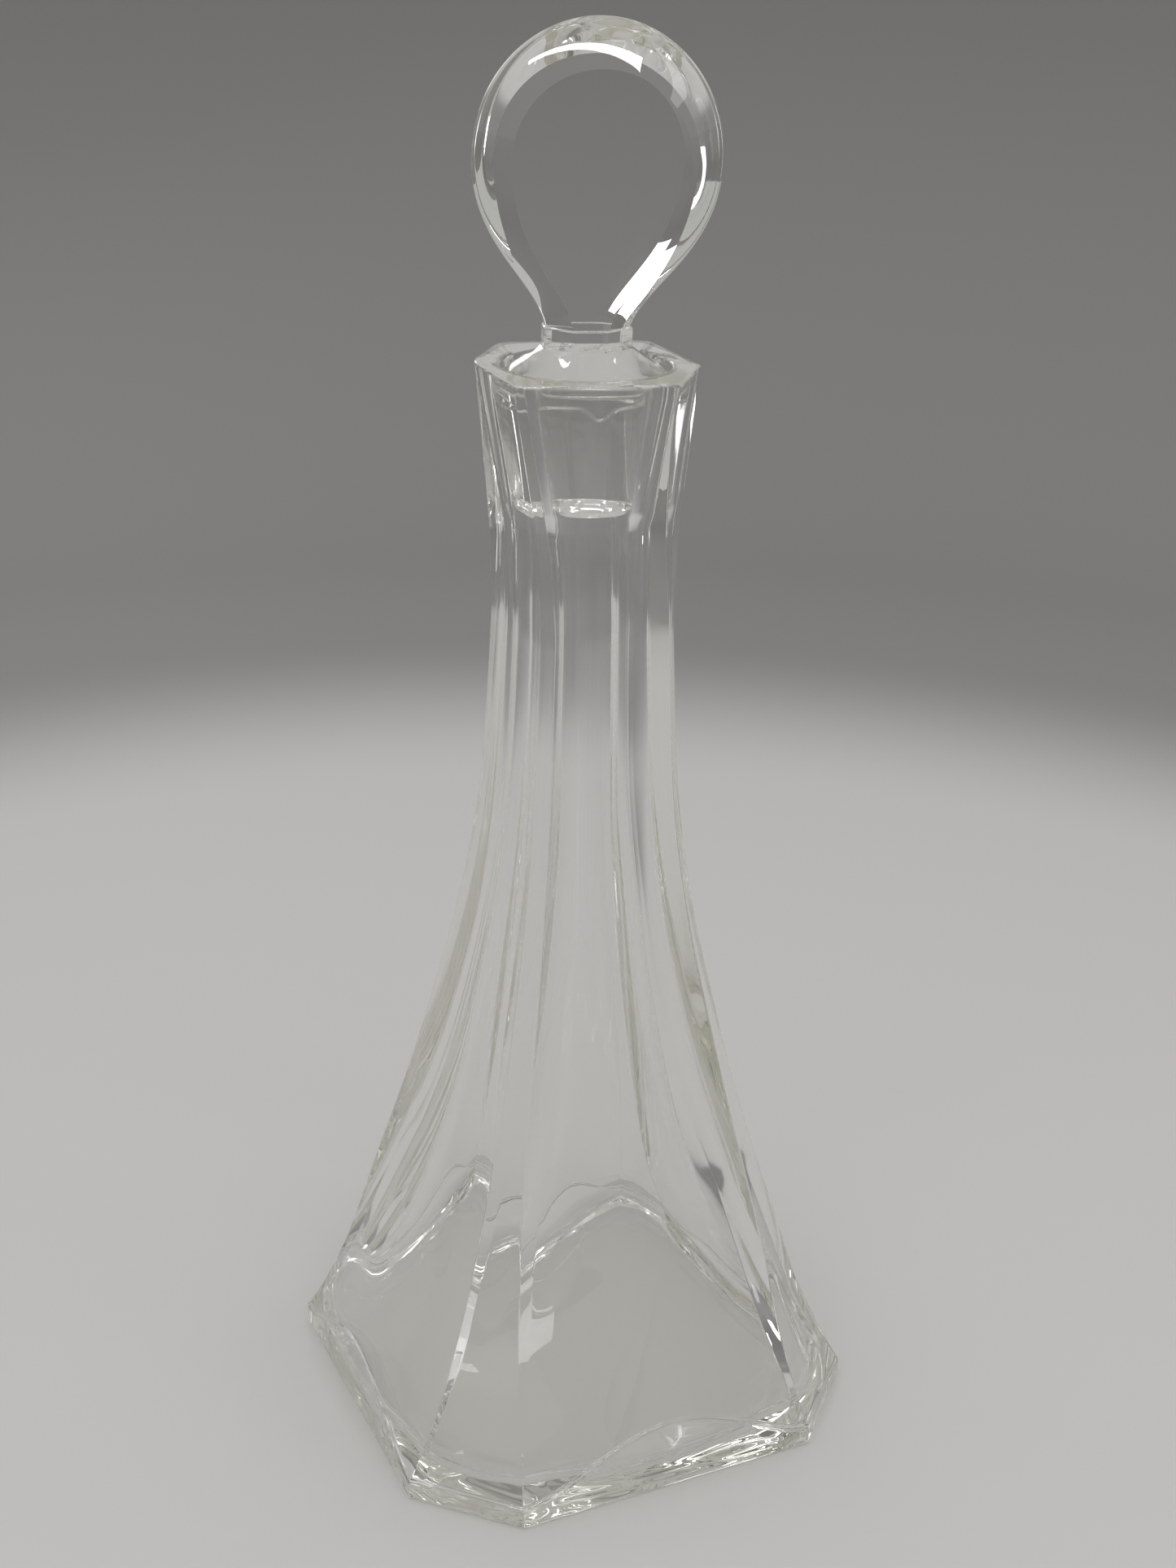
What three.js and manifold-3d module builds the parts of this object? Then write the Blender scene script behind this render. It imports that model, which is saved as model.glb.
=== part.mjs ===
// A clear glass decanter with a disc stopper, in millimetres, +Z up.
// The origin is the middle of the foot, on the surface that the decanter stands on.
// -Y looks out of one wide face of the foot.

import * as THREE from 'three';
import { mergeVertices } from 'three/addons/utils/BufferGeometryUtils.js';
import Module from 'manifold-3d';

const wasm = await Module();
wasm.setup();

// Sizes of the body

const footAcross = 120; // across opposite corners of the eight-sided foot
const footChamferAngle = 24.2; // seen from the axis, the width of a short side of the foot
const footCornerWall = 3.8; // upright glass at a corner of the foot, below the flare
const footArchRise = 11.3; // how much higher the upright glass is in the middle of a wide side
const footEdgeBevel = 0.8;
const rimHeight = 221.5;
const rimAcross = 43; // over the two blunt corners of the rim
const rimDeepAcross = 50.4; // over the four sharp corners of the rim
const waistAcross = 37; // across opposite corners at the narrowest part of the neck
const waistHeight = 172;
const wallAtWaist = 2.8; // glass in the middle of a wide face
const wallAtFoot = 3;
const floorThickness = 4;
const cavityFloorRound = 5; // height over which the cavity rounds into its floor
const cavityFloorInset = 4.5; // the same, inwards
const rimFlareStart = 188; // height at which the neck starts to open to the rim
const baseRecessAcross = 74;
const baseRecessDepth = 1.2;

// Sizes of the ground joint

const plugTopRadius = 15.8;
const plugEndRadius = 11.9;
const plugLength = 24;
const plugTopBelowRim = 2.5;
const plugEndChamfer = 1.4;
const plugDomeHeight = 1.1;
const groundClearance = 0.3; // between plug and mouth, square to the cone
const channelRadius = 11.4; // of the neck below the plug

// Sizes of the stopper above the rim

const discHalfWidth = 22.9;
const discCentreAboveRim = 36.7;
const discRiseAboveCentre = 24.4;
const discThickness = 13;
const faceHalfWidth = 16.1;
const faceRiseAboveCentre = 15.8;
const neckHalfWidth = 7.6;
const neckFaceHalfWidth = 2.9;
const collarTopAboveRim = 7;
const collarBottomAboveRim = 3;
const collarFacets = [ // which way each facet of the collar looks, its distance from the axis, and its lean
  { turn: 0, distance: 8.3, lean: 1.6 },
  { turn: 48.7, distance: 7.37, lean: 1.9 },
  { turn: 90, distance: 7, lean: 1.95 },
  { turn: 131.3, distance: 7.37, lean: 1.9 },
  { turn: 180, distance: 8.3, lean: 1.6 },
  { turn: 228.7, distance: 7.37, lean: 1.9 },
  { turn: 270, distance: 7, lean: 1.95 },
  { turn: 311.3, distance: 7.37, lean: 1.9 },
];
const flareProfile = [ // radius of the turned flare under the facets, by height above the rim
  [-plugTopBelowRim, plugTopRadius],
  [-0.7, 14.2],
  [1, 11.7],
  [3, 9],
  [8, 8.9],
];
const stopperTurn = -18; // degrees about the axis, as the stopper was left in the mouth
const discLean = 3; // degrees: the disc stands a little out of true on its collar

// Fineness of the facets

const wideSideSteps = 8;
const shortSideSteps = 3;
const bodyRows = 34;
const flareSteps = 8;
const roundSteps = 44;
const stemSteps = 56;
const discSteps = 14;
const discRimSteps = 5;

// How the curves run

const flareBelowFoot = 6; // the flare's curve is drawn this far below the foot, where it would be wider still
const flareSpreadBelow = 7.6;
const rimTurnPower = 0.8; // how early in the neck the ridges turn towards the corners of the rim
const rimReachPower = 1.3; // how late they move out to them
const sideSwellPower = 1.5; // how flat the swollen sides stay beside the ridges
const footArchPower = 1.6; // the same for the arches of the foot
const rowPower = 1.25; // rows of facets lie closer towards the foot
const footEaseShare = 0.35; // of the rise, over which the sides leave the straight outline of the foot
const discBevelAngle = 33; // degrees, between a flat face of the disc and the start of its bevel
const discFullness = 0.54; // how far down the disc keeps its width, as a share of the drop to the collar
const discNeckFullness = 0.3; // how far up the collar's width is kept

const degrees = Math.PI / 180;
const mix = (a, b, t) => a + (b - a) * t;
const clamp01 = (t) => Math.min(1, Math.max(0, t));
const smooth = (t) => t * t * (3 - 2 * t);

// A smooth curve through a few [height, value] knots, read at any height.
function curveThrough(knots) {
  const curve = new THREE.SplineCurve(knots.map(([height, value]) => new THREE.Vector2(height, value)));
  const samples = curve.getPoints(knots.length * 24);
  return (height) => {
    const next = samples.findIndex((point) => point.x >= height);
    if (next === -1) return samples.at(-1).y;
    if (next === 0) return samples[0].y;
    const low = samples[next - 1];
    const high = samples[next];
    return mix(low.y, high.y, (height - low.x) / Math.max(high.x - low.x, 1e-9));
  };
}

// The flare: distance of the ridges from the axis at each height. It swells like a trumpet, from the waist of
// the neck down to the corners of the foot, and opens again to the rim.
const footRadius = footAcross / 2;
const waistRadius = waistAcross / 2;
const flareShare = (share) => mix(waistRadius, footRadius, share);
const flareHeight = (share) => mix(footCornerWall, waistHeight, share);
const flareRadius = curveThrough([
  [-flareBelowFoot, footRadius + flareSpreadBelow],
  [footCornerWall, footRadius],
  [flareHeight(0.1), flareShare(0.8)],
  [flareHeight(0.235), flareShare(0.625)],
  [flareHeight(0.38), flareShare(0.435)],
  [flareHeight(0.51), flareShare(0.285)],
  [flareHeight(0.65), flareShare(0.145)],
  [flareHeight(0.8), flareShare(0.05)],
  [waistHeight, waistRadius],
]);

// How far each corner stands from the axis, and which way. The eight ridges run up from the eight corners of
// the foot. Towards the neck the short faces draw in to narrow bands. At the rim two opposite bands close to
// sharp corners and the other two open, so the rim is six-sided.
const halfShort = footChamferAngle / 2;
const bandHalfAngle = 4.5;
const footOpening = curveThrough([
  [0, halfShort],
  [flareHeight(0.12), mix(bandHalfAngle, halfShort, 0.55)],
  [flareHeight(0.35), mix(bandHalfAngle, halfShort, 0.12)],
  [flareHeight(0.6), bandHalfAngle],
  [rimHeight, bandHalfAngle],
]);
const toRim = (height) => clamp01((height - waistHeight) / (rimHeight - waistHeight));
const toRimReach = (height) => clamp01((height - rimFlareStart) / (rimHeight - rimFlareStart)) ** rimReachPower;
const bandMiddle = (quarter) => -135 + 90 * quarter; // degrees: which way a short side of the foot looks
const sharpCorner = { turn: -8, halfAngle: 2.5, radius: rimDeepAcross / 2 };
const openLow = { turn: -27, radius: rimDeepAcross / 2 };
const openHigh = { turn: 20, radius: rimAcross / 2 };

function cornerAt(index, height) {
  const quarter = Math.floor(index / 2);
  const side = index % 2 === 0 ? -1 : 1;
  const middle = bandMiddle(quarter);
  const opening = footOpening(height);
  const radius = height > waistHeight ? waistRadius : flareRadius(height);
  const t = smooth(toRim(height)) ** rimTurnPower;
  const closes = quarter % 2 === 0;
  const end = closes
    ? { angle: middle + sharpCorner.turn + side * sharpCorner.halfAngle, radius: sharpCorner.radius }
    : side < 0
      ? { angle: middle + openLow.turn, radius: openLow.radius }
      : { angle: middle + openHigh.turn, radius: openHigh.radius };
  const angle = mix(middle + side * opening, end.angle, t) * degrees;
  const distance = mix(radius, end.radius, toRimReach(height));
  return new THREE.Vector2(distance * Math.cos(angle), distance * Math.sin(angle));
}

// One level ring of the outside: straight sides in the neck that swell outwards towards the foot.
const swellAtFoot = 0.074; // of a side's length
const swellGone = flareHeight(0.6);
const swellAt = (height) => swellAtFoot * (1 - smooth(clamp01(height / swellGone)));

function outsideRing(height) {
  const ring = [];
  const swell = swellAt(height);
  for (let index = 0; index < 8; index += 1) {
    const from = cornerAt(index, height);
    const to = cornerAt((index + 1) % 8, height);
    const steps = index % 2 === 0 ? shortSideSteps : wideSideSteps;
    const outward = new THREE.Vector2(to.y - from.y, from.x - to.x);
    for (let step = 0; step < steps; step += 1) {
      const along = step / steps;
      const bulge = swell * Math.sin(Math.PI * along) ** sideSwellPower;
      ring.push(from.clone().lerp(to, along).addScaledVector(outward, bulge));
    }
  }
  return ring.map((point) => new THREE.Vector3(point.x, point.y, height));
}

// One level ring of the cavity. Near the floor it runs parallel to the outside. Higher up it leaves the ridges
// thick and becomes a circle inside the wide faces.
const wallAt = curveThrough([
  [0, wallAtFoot],
  [flareHeight(0.45), mix(wallAtFoot, wallAtWaist, 0.5)],
  [waistHeight, wallAtWaist],
]);
const cornerFollow = curveThrough([
  [0, 1],
  [6, 1],
  [14, 0.92],
  [23, 0.56],
  [33, 0.3],
  [50, 0.12],
  [80, 0],
  [rimHeight, 0],
]);
const coneSlope = (plugTopRadius - plugEndRadius) / plugLength;
const plugTop = rimHeight - plugTopBelowRim;
const plugEnd = plugTop - plugLength;
const plugRadius = (height) => plugEndRadius + coneSlope * (height - plugEnd);
const clearanceAcross = groundClearance * Math.hypot(1, coneSlope);
const channelBelowPlug = 3;
const channelTop = plugEnd - channelBelowPlug;

function cavityRing(height, level = height) {
  const outside = outsideRing(height);
  const reach = outside.map((point) => Math.hypot(point.x, point.y));
  const flat = Math.min(...reach);
  const follow = cornerFollow(height);
  const bodyRadius = flat - wallAt(height);
  const channel = smooth(clamp01((height - flareHeight(0.85)) / (channelTop - flareHeight(0.85))));
  return outside.map((point, index) => {
    const radius = mix(bodyRadius + follow * (reach[index] - flat), channelRadius, channel);
    return new THREE.Vector3(point.x, point.y, 0).setLength(radius).setZ(level);
  });
}

// Skins a stack of rings, which all have the same number of points, and closes both ends.
function loftSolid(rings) {
  const count = rings[0].length;
  const middleOf = (ring) => ring.reduce((sum, point) => sum.add(point), new THREE.Vector3()).divideScalar(count);
  const points = [...rings.flat(), middleOf(rings[0]), middleOf(rings.at(-1))];
  const bottom = points.length - 2;
  const top = points.length - 1;
  const index = [];
  for (let i = 0; i < count; i += 1) {
    const next = (i + 1) % count;
    for (let row = 0; row < rings.length - 1; row += 1) {
      const low = row * count;
      const high = low + count;
      index.push(low + i, low + next, high + next, low + i, high + next, high + i);
    }
    const last = (rings.length - 1) * count;
    index.push(bottom, next, i, top, last + i, last + next);
  }
  const geometry = new THREE.BufferGeometry().setFromPoints(points);
  geometry.setIndex(index);
  return toManifold(geometry);
}

function toManifold(geometry) {
  const bare = geometry.clone();
  bare.deleteAttribute('normal');
  bare.deleteAttribute('uv');
  const merged = mergeVertices(bare, 1e-4);
  return new wasm.Manifold(new wasm.Mesh({
    numProp: 3,
    vertProperties: new Float32Array(merged.attributes.position.array),
    triVerts: new Uint32Array(merged.index.array),
  }));
}

function toGeometry(solid) {
  const mesh = solid.getMesh();
  const geometry = new THREE.BufferGeometry();
  geometry.setAttribute('position', new THREE.BufferAttribute(new Float32Array(mesh.vertProperties), 3));
  geometry.setIndex(new THREE.BufferAttribute(new Uint32Array(mesh.triVerts), 1));
  geometry.computeVertexNormals();
  return geometry;
}

// A solid of revolution about +Z from [radius, height] points that start and end on the axis.
function turned(profile, steps = roundSteps) {
  const outline = profile.map(([radius, height]) => new THREE.Vector2(radius, height));
  const geometry = new THREE.LatheGeometry(outline, steps);
  geometry.rotateX(Math.PI / 2);
  return toManifold(geometry);
}

// The body

// The foot is upright up to a scalloped line: low at its corners and along its short sides, and rising in an
// arch to the middle of each wide side.
function footOutline() {
  const corners = [];
  for (let index = 0; index < 8; index += 1) {
    const side = index % 2 === 0 ? -1 : 1;
    const angle = (bandMiddle(Math.floor(index / 2)) + side * halfShort) * degrees;
    corners.push(new THREE.Vector2(Math.cos(angle), Math.sin(angle)).multiplyScalar(footRadius));
  }
  return corners.flatMap((from, index) => {
    const wide = index % 2 === 1;
    const steps = wide ? wideSideSteps : shortSideSteps;
    return Array.from({ length: steps }, (_, step) => {
      const along = step / steps;
      const arch = wide ? footArchRise * Math.sin(Math.PI * along) ** footArchPower : 0;
      return { point: from.clone().lerp(corners[(index + 1) % 8], along), wall: footCornerWall + arch };
    });
  });
}

// Above the scalloped line each upright row of points follows the flare, eased on to the foot.
function bodyOutside() {
  const foot = footOutline();
  const atLevel = (height) => foot.map(({ point }) => new THREE.Vector3(point.x, point.y, height));
  const insetFoot = foot.map(({ point }) => {
    const inner = point.clone().setLength(point.length() - footEdgeBevel);
    return new THREE.Vector3(inner.x, inner.y, 0);
  });
  const rings = [insetFoot, atLevel(footEdgeBevel)];
  const levelRings = new Map();
  const pointAt = (index, height) => {
    const key = height.toFixed(3);
    if (!levelRings.has(key)) levelRings.set(key, outsideRing(height));
    return levelRings.get(key)[index];
  };
  for (let row = 0; row <= bodyRows; row += 1) {
    const t = (row / bodyRows) ** rowPower;
    const ease = (1 - Math.min(1, t / footEaseShare)) ** 2;
    rings.push(foot.map(({ point, wall }, index) => {
      const start = pointAt(index, wall);
      const level = pointAt(index, mix(wall, rimHeight, t));
      return new THREE.Vector3(
        level.x + ease * (point.x - start.x),
        level.y + ease * (point.y - start.y),
        level.z,
      );
    }));
  }
  return loftSolid(rings);
}

function bodyCavity() {
  const rings = [];
  const floorSteps = 6;
  for (let step = 1; step <= floorSteps; step += 1) {
    const lift = 1 - Math.cos((Math.PI / 2) * (step / floorSteps));
    const level = floorThickness + cavityFloorRound * lift;
    const ring = cavityRing(level);
    const inset = cavityFloorInset * (1 - Math.sin((Math.PI / 2) * (step / floorSteps)));
    rings.push(ring.map((point) => {
      const radius = Math.hypot(point.x, point.y);
      const scale = (radius - inset) / radius;
      return new THREE.Vector3(point.x * scale, point.y * scale, level);
    }));
  }
  const bottom = floorThickness + cavityFloorRound;
  for (let row = 1; row <= bodyRows; row += 1) rings.push(cavityRing(mix(bottom, channelTop, row / bodyRows)));
  return loftSolid(rings);
}

function groundMouth() {
  const mouth = (height) => plugRadius(height) + clearanceAcross;
  const overshoot = 2;
  return turned([
    [0, channelTop - 1],
    [channelRadius, channelTop - 1],
    [channelRadius, channelTop],
    [mouth(plugEnd - plugDomeHeight), plugEnd - plugDomeHeight],
    [mouth(rimHeight + overshoot), rimHeight + overshoot],
    [0, rimHeight + overshoot],
  ]);
}

// A shallow dish in the underside that leaves the level ring round it without an edge.
function baseRecess() {
  const radius = baseRecessAcross / 2;
  const steps = 6;
  const dish = Array.from({ length: steps + 1 }, (_, step) => {
    const share = 1 - step / steps;
    return [radius * share, baseRecessDepth * (1 - share ** 2) ** 2];
  });
  return turned([[0, -1], [radius + 1, -1], ...dish]);
}

const bodySolid = bodyOutside().subtract(bodyCavity()).subtract(groundMouth()).subtract(baseRecess());

// The stopper

// Half of a keyhole outline, from its top down to its neck: a round head, then one easy curve.
function keyholeHalf(halfWidth, rise, neck, neckHeight) {
  const centre = discCentreAboveRim;
  const points = [];
  for (let step = 0; step < discSteps; step += 1) {
    const angle = (Math.PI / 2) * (step / discSteps);
    points.push(new THREE.Vector2(halfWidth * Math.sin(angle), centre + rise * Math.cos(angle)));
  }
  const drop = centre - neckHeight;
  const flank = new THREE.CubicBezierCurve(
    new THREE.Vector2(halfWidth, centre),
    new THREE.Vector2(halfWidth, centre - drop * discFullness),
    new THREE.Vector2(neck, neckHeight + drop * discNeckFullness),
    new THREE.Vector2(neck, neckHeight),
  );
  return [...points, ...flank.getPoints(discSteps)];
}

// The disc's outlines run round the keyhole. They grow from the flat front face to the middle plane of the disc
// along a curve that leaves the face at the bevel's angle, so each face has a crisp edge, and that is square to
// the face in the middle plane.
function discSolid() {
  const neckHeight = mix(collarBottomAboveRim, collarTopAboveRim, 0.5);
  const rim = keyholeHalf(discHalfWidth, discRiseAboveCentre, neckHalfWidth, neckHeight);
  const face = keyholeHalf(faceHalfWidth, faceRiseAboveCentre, neckFaceHalfWidth, neckHeight);
  const halfThickness = discThickness / 2;
  const startSlope = halfThickness / (discHalfWidth - faceHalfWidth) / Math.tan(discBevelAngle * degrees);
  const rings = [];
  for (let step = -discRimSteps; step <= discRimSteps; step += 1) {
    const depth = halfThickness * Math.sin((Math.PI / 2) * (step / discRimSteps));
    const inwards = 1 - Math.abs(depth) / halfThickness;
    const grow = startSlope * inwards + (3 - 2 * startSlope) * inwards ** 2 + (startSlope - 2) * inwards ** 3;
    const half = rim.map((point, index) => face[index].clone().lerp(point, grow));
    const mirrored = half.slice(1).map((point) => new THREE.Vector2(-point.x, point.y)).reverse();
    rings.push([...half, ...mirrored].map((point) => new THREE.Vector3(point.x, depth, rimHeight + point.y)));
  }
  return loftSolid(rings);
}

// The eight facets of the collar and flare, each a plane. In the collar they stand upright. Below it each leans
// outwards, by its lean in millimetres for each millimetre down.
function facetRing(heightAboveRim) {
  const below = Math.max(collarBottomAboveRim - heightAboveRim, 0);
  return collarFacets.map((facet, index) => {
    const next = collarFacets[(index + 1) % collarFacets.length];
    const [a, b] = [facet.turn * degrees, next.turn * degrees];
    const [p, q] = [facet.distance + facet.lean * below, next.distance + next.lean * below];
    const across = Math.sin(b - a);
    const x = (p * Math.sin(b) - q * Math.sin(a)) / across;
    const y = (q * Math.cos(a) - p * Math.cos(b)) / across;
    return new THREE.Vector3(x, y, rimHeight + heightAboveRim);
  });
}

// The plug, the flare and the collar: one turned solid, cut by the eight facets. Each facet ends in a curve on
// the turned flare.
function stemSolid() {
  const end = plugEndRadius;
  const flare = curveThrough(flareProfile);
  const flareRows = Array.from({ length: flareSteps + 1 }, (_, step) => {
    const height = mix(-plugTopBelowRim, collarBottomAboveRim, step / flareSteps);
    return [flare(height), rimHeight + height];
  });
  const top = rimHeight + collarTopAboveRim;
  const round = turned([
    [0, plugEnd - plugDomeHeight],
    [end * 0.45, plugEnd - plugDomeHeight * 0.8],
    [end - plugEndChamfer, plugEnd],
    [plugRadius(plugEnd + plugEndChamfer), plugEnd + plugEndChamfer],
    ...flareRows,
    [flare(collarTopAboveRim), top],
    [0, top],
  ], stemSteps);
  const lowest = plugEnd - plugDomeHeight - rimHeight - 1;
  const facets = loftSolid([lowest, collarBottomAboveRim, collarTopAboveRim + 1].map(facetRing));
  return round.intersect(facets);
}

function stopperSolid() {
  const pivot = rimHeight + collarTopAboveRim;
  const disc = discSolid().translate([0, 0, -pivot]).rotate([0, discLean, 0]).translate([0, 0, pivot]);
  return disc.add(stemSolid()).rotate([0, 0, stopperTurn]);
}

// The finished model

const clearGlass = () => new THREE.MeshStandardMaterial({
  color: 0xeef2ef,
  roughness: 0.04,
  metalness: 0,
  transparent: true,
  opacity: 0.35,
});

const decanter = new THREE.Group();
const pieces = { decanter_body: bodySolid, stopper: stopperSolid() };
for (const [name, solid] of Object.entries(pieces)) {
  const mesh = new THREE.Mesh(toGeometry(solid), clearGlass());
  mesh.name = name;
  decanter.add(mesh);
}

export default decanter;
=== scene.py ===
"""A clear glass decanter with a solid disc stopper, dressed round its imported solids.

Sizes in the classes are millimetres in the part's own frame: +Z up the neck, the origin under the middle
of the foot. Meshes are made in metres.
"""
import logging
from dataclasses import dataclass, field
from enum import Enum
from math import cos, radians, sin
from typing import Callable, Sequence

import bpy
import numpy as np
from mathutils import Matrix, Vector


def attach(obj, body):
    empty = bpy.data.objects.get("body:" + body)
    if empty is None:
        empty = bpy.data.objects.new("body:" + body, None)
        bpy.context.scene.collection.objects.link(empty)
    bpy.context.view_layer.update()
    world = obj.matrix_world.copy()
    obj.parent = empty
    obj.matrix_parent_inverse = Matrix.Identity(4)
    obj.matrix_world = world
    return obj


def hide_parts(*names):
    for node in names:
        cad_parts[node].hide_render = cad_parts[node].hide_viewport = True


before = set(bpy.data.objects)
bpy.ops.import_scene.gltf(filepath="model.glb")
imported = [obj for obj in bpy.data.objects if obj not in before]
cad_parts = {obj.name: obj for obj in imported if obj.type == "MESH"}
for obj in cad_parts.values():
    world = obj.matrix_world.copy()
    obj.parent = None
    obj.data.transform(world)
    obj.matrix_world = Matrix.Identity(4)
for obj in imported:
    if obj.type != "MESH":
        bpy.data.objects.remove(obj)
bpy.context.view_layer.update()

MM = 0.001
log = logging.getLogger("decanter")

WHITE = (1.0, 1.0, 1.0, 1.0)

Array = np.ndarray
Curve = Callable[[Array], Array]
Colour = tuple[float, float, float, float]
Tone = tuple[float, float, float]
Point = tuple[float, float, float]


# ---- shapes shared by both pieces


def smooth(t: Array) -> Array:
    """The cubic ease 3t^2 - 2t^3 of t held between 0 and 1."""
    t = np.clip(t, 0.0, 1.0)
    return t * t * (3.0 - 2.0 * t)


def mix(a: Array, b: Array, t: Array) -> Array:
    """The point that is the share t of the way from a to b."""
    return a + (b - a) * t


def curve_through(knots: Sequence[tuple[float, float]]) -> Curve:
    """A smooth curve through a few (height, value) knots.

    Uniform Catmull-Rom pieces: each runs from one knot to the next, with the half difference of the
    neighbours of each as its slope there.

    Args:
        knots: the (height, value) pairs, in order of height.

    Returns:
        A function that reads the curve at any array of heights.
    """
    points = np.array(knots, float)
    last = len(points) - 1
    place = np.linspace(0.0, last, last * 300 + 1)
    start = np.minimum(place.astype(int), last)
    t = (place - start)[:, None]
    before = points[np.maximum(start - 1, 0)]
    here = points[start]
    after = points[np.minimum(start + 1, last)]
    beyond = points[np.minimum(start + 2, last)]
    leave = 0.5 * (after - before)
    arrive = 0.5 * (beyond - here)
    along = (
        (2 * here - 2 * after + leave + arrive) * t**3
        + (-3 * here + 3 * after - 2 * leave - arrive) * t**2
        + leave * t
        + here
    )
    return lambda height: np.interp(height, along[:, 0], along[:, 1])


def bent(first: Array, corner: Array, last: Array, t: Array) -> Array:
    """The quadratic curve from first to last that heads for corner, read at t."""
    return (1 - t) ** 2 * first + 2 * t * (1 - t) * corner + t**2 * last


def rounded(first: Array, corner: Array, last: Array, steps: int) -> Array:
    """Rows that round a corner between two rows, each point along its own bent curve.

    Args:
        first: a row of points, shape (columns, 3).
        corner: the row of sharp corners that they would meet in.
        last: the row on the far side.
        steps: how many rows to give, ends included.

    Returns:
        The rows, shape (steps, columns, 3).
    """
    return bent(first, corner, last, np.linspace(0.0, 1.0, steps)[:, None, None])


def spokes(angle: Array) -> Array:
    """Level unit vectors at these angles, with x and y last."""
    return np.stack([np.cos(angle), np.sin(angle)], -1)


def raised(plan: Array, height: Array | float) -> Array:
    """The points of a level plan, each lifted to its height."""
    return np.concatenate([plan, np.broadcast_to(height, plan.shape[:-1])[..., None]], -1)


def circle(angle: Array, radius: float, height: float) -> Array:
    """A level circle with its points at these angles."""
    return raised(radius * spokes(angle), height)


def placed(name: str, data: bpy.types.ID) -> bpy.types.Object:
    """A new object of this data, in the scene."""
    thing = bpy.data.objects.new(name, data)
    bpy.context.scene.collection.objects.link(thing)
    return thing


def ring_faces(rings: int, columns: int) -> Array:
    """The corners of the faces between rings: ring i, column j to ring i + 1, column j + 1.

    Args:
        rings: how many rings of points there are.
        columns: how many points each has.

    Returns:
        Four point numbers for each face.
    """
    low = np.arange(rings - 1)[:, None] * columns + np.arange(columns)
    low_next = np.roll(low, -1, 1)
    return np.stack([low, low_next, low_next + columns, low + columns], -1).reshape(-1, 4)


def stacked_mesh(name: str, rows: Array, low_pole: Array, high_pole: Array) -> bpy.types.Object:
    """One closed mesh skinned over a stack of rings.

    Four-sided faces join the rings, and the first and last rings close on a pole each.

    Args:
        name: the object's name.
        rows: the rings in millimetres, shape (rings, columns, 3), counter-clockwise from outside.
        low_pole: the point that the first ring closes on.
        high_pole: the point that the last ring closes on.

    Returns:
        The new object, at the origin.
    """
    rings, columns, _ = rows.shape
    points = np.concatenate([rows.reshape(-1, 3), low_pole[None], high_pole[None]]) * MM
    quads = ring_faces(rings, columns)
    column = np.arange(columns)
    following = np.roll(column, -1)
    top = (rings - 1) * columns
    low_fan = np.stack([np.full(columns, rings * columns), following, column], -1)
    high_fan = np.stack([np.full(columns, rings * columns + 1), top + column, top + following], -1)
    loops = np.concatenate([quads.ravel(), low_fan.ravel(), high_fan.ravel()])
    sizes = np.concatenate([np.full(len(quads), 4), np.full(2 * columns, 3)])
    mesh = bpy.data.meshes.new(name)
    mesh.vertices.add(len(points))
    mesh.vertices.foreach_set("co", points.ravel())
    mesh.loops.add(len(loops))
    mesh.loops.foreach_set("vertex_index", loops)
    mesh.polygons.add(len(sizes))
    mesh.polygons.foreach_set("loop_start", np.concatenate([[0], np.cumsum(sizes)[:-1]]))
    mesh.polygons.foreach_set("use_smooth", np.ones(len(sizes), bool))
    mesh.update(calc_edges=True)
    mesh.validate()
    return placed(name, mesh)


# ---- shader maths and finishes


class Num:
    """A shader value. Python's own operators on it add Math nodes."""

    def __init__(self, shader: "Shader", socket: bpy.types.NodeSocket) -> None:
        """Wraps a socket of the shader's tree."""
        self.shader = shader
        self.socket = socket

    def _math(self, operation: str, *values: "Num | float", clamp: bool = False) -> "Num":
        """A Math node of that operation on these values."""
        inputs = dict(enumerate(values))
        node = self.shader.node("ShaderNodeMath", inputs, {"operation": operation, "use_clamp": clamp})
        return Num(self.shader, node.outputs[0])

    def __add__(self, other: "Num | float") -> "Num":
        """self + other."""
        return self._math("ADD", self, other)

    def __sub__(self, other: "Num | float") -> "Num":
        """self - other."""
        return self._math("SUBTRACT", self, other)

    def __rsub__(self, other: float) -> "Num":
        """other - self."""
        return self._math("SUBTRACT", other, self)

    def __mul__(self, other: "Num | float") -> "Num":
        """self * other."""
        return self._math("MULTIPLY", self, other)

    def __pow__(self, other: "Num | float") -> "Num":
        """self to the power other."""
        return self._math("POWER", self, other)

    def held(self) -> "Num":
        """self held between 0 and 1."""
        return self._math("ADD", self, 0.0, clamp=True)

    def ease(self, low: float, high: float) -> "Num":
        """An easy curve between two ends.

        Args:
            low: where it is 0.
            high: where it is 1, above low or below it.

        Returns:
            The value, 0 to 1.
        """
        settings = {"interpolation_type": "SMOOTHSTEP"}
        ends = {"From Min": min(low, high), "From Max": max(low, high)}
        turn = {"To Min": 0.0 if low < high else 1.0, "To Max": 1.0 if low < high else 0.0}
        node = self.shader.node("ShaderNodeMapRange", {"Value": self, **ends, **turn}, settings)
        return Num(self.shader, node.outputs["Result"])


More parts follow.
